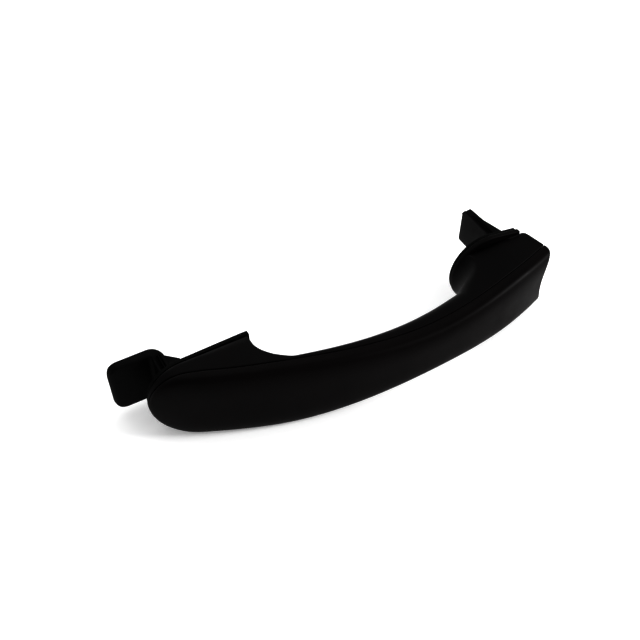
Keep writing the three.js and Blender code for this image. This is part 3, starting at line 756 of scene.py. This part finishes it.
def rib_curves():
    """Front and rear curves of the leg's rib in plan: a wedge that runs out towards the tip."""
    y = np.linspace(FOOT_TOP - 1.0, LEG_RIB_END, 30)
    run = np.clip(y / LEG_RIB_END, 0.0, 1.0)
    end = LEG_TIP_THICKNESS - LEG_RIB_EDGE
    rear = LEG_FRONT_X + LEG_RIB_REACH + (end - LEG_RIB_REACH) * run
    high = np.full_like(y, LEG_TOP - HAIR)
    return plan(LEG_FRONT_X + LEG_RIB_ROOT, y), plan(rear, y), high - LEG_RIB_THICKNESS, high


# ---------------------------------------------------------------- finishes


def nodes_of(name):
    """A new material, its node tree and its shader."""
    material = bpy.data.materials.new(name)
    material.use_nodes = True
    tree = material.node_tree
    return material, tree, tree.nodes["Principled BSDF"]


def noise(tree, scale, detail, roughness=0.5):
    """Noise in the piece's own space."""
    place_node = tree.nodes.new("ShaderNodeTexCoord")
    node = tree.nodes.new("ShaderNodeTexNoise")
    node.inputs["Scale"].default_value = scale
    node.inputs["Detail"].default_value = detail
    node.inputs["Roughness"].default_value = roughness
    tree.links.new(place_node.outputs["Object"], node.inputs["Vector"])
    return node


def ramp(tree, source, low, high, start=0.35, end=0.65):
    """A ramp between two colours driven by a texture."""
    node = tree.nodes.new("ShaderNodeValToRGB")
    node.color_ramp.elements[0].position = start
    node.color_ramp.elements[0].color = (*low, 1.0)
    node.color_ramp.elements[1].position = end
    node.color_ramp.elements[1].color = (*high, 1.0)
    tree.links.new(source.outputs["Fac"], node.inputs["Fac"])
    return node


def spread(tree, source, low, high):
    """A texture's value mapped to a range."""
    node = tree.nodes.new("ShaderNodeMapRange")
    node.inputs["From Min"].default_value = 0.3
    node.inputs["From Max"].default_value = 0.7
    node.inputs["To Min"].default_value = low
    node.inputs["To Max"].default_value = high
    tree.links.new(source.outputs["Fac"], node.inputs["Value"])
    return node


def grain(tree, shader, source, strength, distance, output="Fac"):
    """Bump from a texture."""
    node = tree.nodes.new("ShaderNodeBump")
    node.inputs["Strength"].default_value = strength
    node.inputs["Distance"].default_value = distance
    tree.links.new(source.outputs[output], node.inputs["Height"])
    tree.links.new(node.outputs["Normal"], shader.inputs["Normal"])


def moulded_plastic(name, dark, light, rough, grain_scale, grain_strength):
    """Moulded plastic: a fine grain, slow changes of sheen and a slightly cloudy black."""
    material, tree, shader = nodes_of(name)
    tint = ramp(tree, noise(tree, 45.0, 3.0), dark, light)
    tree.links.new(tint.outputs["Color"], shader.inputs["Base Color"])
    sheen = spread(tree, noise(tree, 120.0, 5.0, 0.6), rough - 0.05, rough + 0.05)
    tree.links.new(sheen.outputs["Result"], shader.inputs["Roughness"])
    grain(tree, shader, noise(tree, grain_scale, 4.0, 0.55), grain_strength, 0.00006)
    shader.inputs["Specular IOR Level"].default_value = 0.05
    return material


def zinc_plate(name):
    """Zinc-plated steel: bright, with a fine spangle and faint streaks."""
    material, tree, shader = nodes_of(name)
    shader.inputs["Metallic"].default_value = 1.0
    tint = ramp(tree, noise(tree, 700.0, 3.0), (0.52, 0.54, 0.56), (0.68, 0.69, 0.68))
    tree.links.new(tint.outputs["Color"], shader.inputs["Base Color"])
    sheen = spread(tree, noise(tree, 400.0, 4.0), 0.26, 0.42)
    tree.links.new(sheen.outputs["Result"], shader.inputs["Roughness"])
    grain(tree, shader, noise(tree, 1500.0, 3.0), 0.15, 0.00003)
    return material


def foam_sheet(name):
    """Closed-cell foam: a field of small open cells."""
    material, tree, shader = nodes_of(name)
    at = tree.nodes.new("ShaderNodeTexCoord")
    cells = tree.nodes.new("ShaderNodeTexVoronoi")
    cells.inputs["Scale"].default_value = 1400.0
    tree.links.new(at.outputs["Object"], cells.inputs["Vector"])
    tint = ramp(tree, noise(tree, 300.0, 4.0), (0.05, 0.05, 0.055), (0.1, 0.1, 0.11))
    tree.links.new(tint.outputs["Color"], shader.inputs["Base Color"])
    grain(tree, shader, cells, 0.6, 0.0002, "Distance")
    shader.inputs["Roughness"].default_value = 0.95
    return material


PLASTICS = {
    # name: (darkest, lightest, roughness, scale of the grain, its strength)
    "cover_black": ((0.0020, 0.0014, 0.0015), (0.0032, 0.0022, 0.0023), 0.42, 1500.0, 0.25),
    "carrier_black": ((0.0017, 0.0014, 0.0015), (0.0026, 0.0021, 0.0022), 0.48, 1200.0, 0.3),
    "nylon_black": ((0.0016, 0.0016, 0.0017), (0.0034, 0.0034, 0.0035), 0.52, 800.0, 0.45),
    "seal_rubber": ((0.0020, 0.0022, 0.0021), (0.0034, 0.0037, 0.0035), 0.75, 2200.0, 0.3),
}
plastics = {name: moulded_plastic(name, *look) for name, look in PLASTICS.items()}
zinc_steel = zinc_plate("zinc_steel")
damping_foam = foam_sheet("damping_foam")

# ---------------------------------------------------------------- pieces


def post(name, x0, x1, z0, z1):
    """A rounded post along Y that cuts a slot through the floor of the seats."""
    middle = ((x0 + x1) / 2, (z0 + z1) / 2)
    outline = rounded_slot(x0, x1, z0, z1, 0.6)
    return plate(outline, FLOOR_Y - 1.0, 2.0, 0.1, middle).mesh(name)


GAP = PARTING_GAP
FLANGE_CENTRE = (128.0, 0.0)
cover_mesh = shell("outer_cover_skin", True, SEAT_Y, SEAT_Y - WALL)
carrier_body = shell("inner_carrier_skin", False, REAR_CREST_Y, SEAT_Y - WALL)
flange = plate(rear_outline(0.0), SEAT_Y - REAR_FLANGE, SEAT_Y, 0.4, FLANGE_CENTRE).mesh("rear_flange")
leg_back_x = LEG_FRONT_X + LEG_ROOT_THICKNESS
neck_top = TONGUE_HALF_HEIGHT + GAP
slots = {
    "neck_slot": (NECK_LEFT - GAP, NECK_RIGHT + GAP, -neck_top, neck_top),
    "leg_slot": (LEG_FRONT_X - GAP, leg_back_x + GAP, LEG_BOTTOM - GAP, LEG_TOP + GAP),
    "rib_slot": (
        LEG_FRONT_X + 1.0,
        LEG_FRONT_X + LEG_RIB_REACH + GAP,
        LEG_TOP - LEG_RIB_THICKNESS - GAP,
        LEG_TOP + GAP - HAIR,
    ),
}
cuts = [("DIFFERENCE", post(name, *sides)) for name, sides in slots.items()]
carrier_mesh = solve(carrier_body, "inner_carrier_skin", [("UNION", flange)] + cuts)
tongue_mesh = solve(
    blade("hinge_tongue_hook", *tongue_curves(), TONGUE_EDGE),
    "hinge_tongue_hook",
    [("UNION", blade("tongue_shoulder", *shoulder_curves(), SHOULDER_EDGE))],
)
leg_mesh = solve(
    blade("pull_leg_blade", *leg_curves(), LEG_EDGE),
    "pull_leg_blade",
    [("UNION", blade("pull_leg_rib", *rib_curves(), LEG_RIB_EDGE))],
)

# each seal is open where the tongue or the leg swings through it
NECK_ROOM = rounded_slot(
    NECK_LEFT - SWING_ROOM - GAP, NECK_RIGHT + 2 * GAP, -11.2, 11.2, SEAL_SLOT_CORNER
)
LEG_ROOM = rounded_slot(
    LEG_FRONT_X - SWING_ROOM,
    LEG_FRONT_X + LEG_RIB_REACH + GAP,
    LEG_BOTTOM - GAP,
    LEG_TOP + GAP,
    SEAL_SLOT_CORNER,
)
NECK_ROOM_CENTRE = (NECK_X - 2 * GAP, 0.0)
LEG_ROOM_CENTRE = (137.0, 2.55)
LEG_ROOM_FIRST, LEG_ROOM_LAST = 0.9, TURN - 1.1  # the slot is open to the hollow between them
front_seal_mesh = slotted_pad(
    "front_seal_pad", front_outline(-SEAL_INSET), NECK_ROOM, NECK_ROOM_CENTRE, 0.0, TURN
)
rear_seal_mesh = slotted_pad(
    "rear_seal_pad",
    rear_outline(-SEAL_INSET),
    LEG_ROOM,
    LEG_ROOM_CENTRE,
    LEG_ROOM_FIRST,
    LEG_ROOM_LAST,
)

place("outer_cover_skin", cover_mesh, "grip", "cover_black", "outer_cover")
place("inner_carrier_skin", carrier_mesh, "grip", "carrier_black", "inner_carrier")
place("hinge_tongue_hook", tongue_mesh, "grip", "nylon_black", "hinge_tongue")
place("pull_leg_blade", leg_mesh, "grip", "nylon_black", "pull_leg")
place("front_seal_pad", front_seal_mesh, "door_side", "seal_rubber", "front_seal")
place("rear_seal_pad", rear_seal_mesh, "door_side", "seal_rubber", "rear_seal")

hidden_finishes = {
    "stiffener_bar": zinc_steel,
    "damping_pad_1": damping_foam,
    "damping_pad_2": damping_foam,
}
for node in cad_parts:
    if "screw" in node:
        hidden_finishes[node] = zinc_steel
for node, finish in hidden_finishes.items():
    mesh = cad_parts[node].data
    mesh.materials.clear()
    mesh.materials.append(finish)

# ---------------------------------------------------------------- floor, light and camera

FLOOR_REACH = 4.0
low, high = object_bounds()
corners = [(-1, -1), (1, -1), (1, 1), (-1, 1)]
floor = bpy.data.meshes.new("floor")
floor.from_pydata([(x * FLOOR_REACH, y * FLOOR_REACH, low.z) for x, y in corners], [], [(0, 1, 2, 3)])
floor_piece = bpy.data.objects.new("floor", floor)
bpy.context.collection.objects.link(floor_piece)
paper, _, paper_shader = nodes_of("white_paper")
paper_shader.inputs["Base Color"].default_value = (0.9, 0.9, 0.9, 1)
paper_shader.inputs["Roughness"].default_value = 0.9
paper_shader.inputs["Specular IOR Level"].default_value = 0.1
paper_shader.inputs["Emission Color"].default_value = (1, 1, 1, 1)
paper_shader.inputs["Emission Strength"].default_value = 0.22
floor.materials.append(paper)

world = bpy.data.worlds.new("room")
world.use_nodes = True
world.node_tree.nodes["Background"].inputs["Color"].default_value = (1.0, 1.0, 1.0, 1)
world.node_tree.nodes["Background"].inputs["Strength"].default_value = 0.75
bpy.context.scene.world = world


def area_light(name, at, aim, size, power):
    """A soft rectangular light that looks at a point."""
    lamp = bpy.data.lights.new(name, "AREA")
    lamp.energy = power
    lamp.shape = "RECTANGLE"
    lamp.size, lamp.size_y = size
    holder = bpy.data.objects.new(name, lamp)
    bpy.context.collection.objects.link(holder)
    holder.location = at
    holder.rotation_euler = (Vector(aim) - Vector(at)).to_track_quat("-Z", "Y").to_euler()


MIDDLE = (0.06, -0.015, 0.0)
REAR_END = (0.13, -0.01, 0.0)
area_light("overhead", (0.12, 0.3, 0.8), MIDDLE, (0.9, 0.6), 2.4)
area_light("back", (0.0, 0.75, 0.3), MIDDLE, (0.6, 0.4), 2.0)
area_light("side", (0.72, -0.40, 0.34), REAR_END, (0.22, 0.3), 8.0)

# camera: a long lens, looking down over the hinge end
FRAME = 640.0                    # width and height of the frame, in its own units
CAMERA_TURN = math.radians(30.44)
CAMERA_TILT = math.radians(48.08)
CAMERA_ROLL = math.radians(0.57)
CAMERA_AWAY = 0.36526
CAMERA_AIM = np.array([0.062, -0.012, 0.0])
AIM_U, AIM_V = 354.97, 340.07    # where the aim falls in the frame
FOCAL = 931.0503                 # focal length, where the sensor is as wide as the frame
SENSOR = 36.0

sin_turn, cos_turn = math.sin(CAMERA_TURN), math.cos(CAMERA_TURN)
sin_tilt, cos_tilt = math.sin(CAMERA_TILT), math.cos(CAMERA_TILT)
sin_roll, cos_roll = math.sin(CAMERA_ROLL), math.cos(CAMERA_ROLL)
right = np.array([cos_turn, -sin_turn, 0.0])
forward = np.array([sin_turn * cos_tilt, cos_turn * cos_tilt, -sin_tilt])
up = np.cross(right, forward)
turned = np.eye(4)
turned[:3, 0] = cos_roll * right + sin_roll * up
turned[:3, 1] = -sin_roll * right + cos_roll * up
turned[:3, 2] = -forward
turned[:3, 3] = CAMERA_AIM - forward * CAMERA_AWAY
lens = bpy.data.cameras.new("camera")
lens.sensor_width = SENSOR
lens.lens = FOCAL / FRAME * SENSOR
lens.shift_x = (FRAME / 2 - AIM_U) / FRAME
lens.shift_y = (AIM_V - FRAME / 2) / FRAME
lens.clip_start, lens.clip_end = 0.01, 20.0
camera = bpy.data.objects.new("camera", lens)
bpy.context.collection.objects.link(camera)
camera.matrix_world = Matrix(turned.tolist())
bpy.context.scene.camera = camera
bpy.context.scene.view_settings.view_transform = "Standard"
bpy.context.scene.view_settings.gamma = 0.68
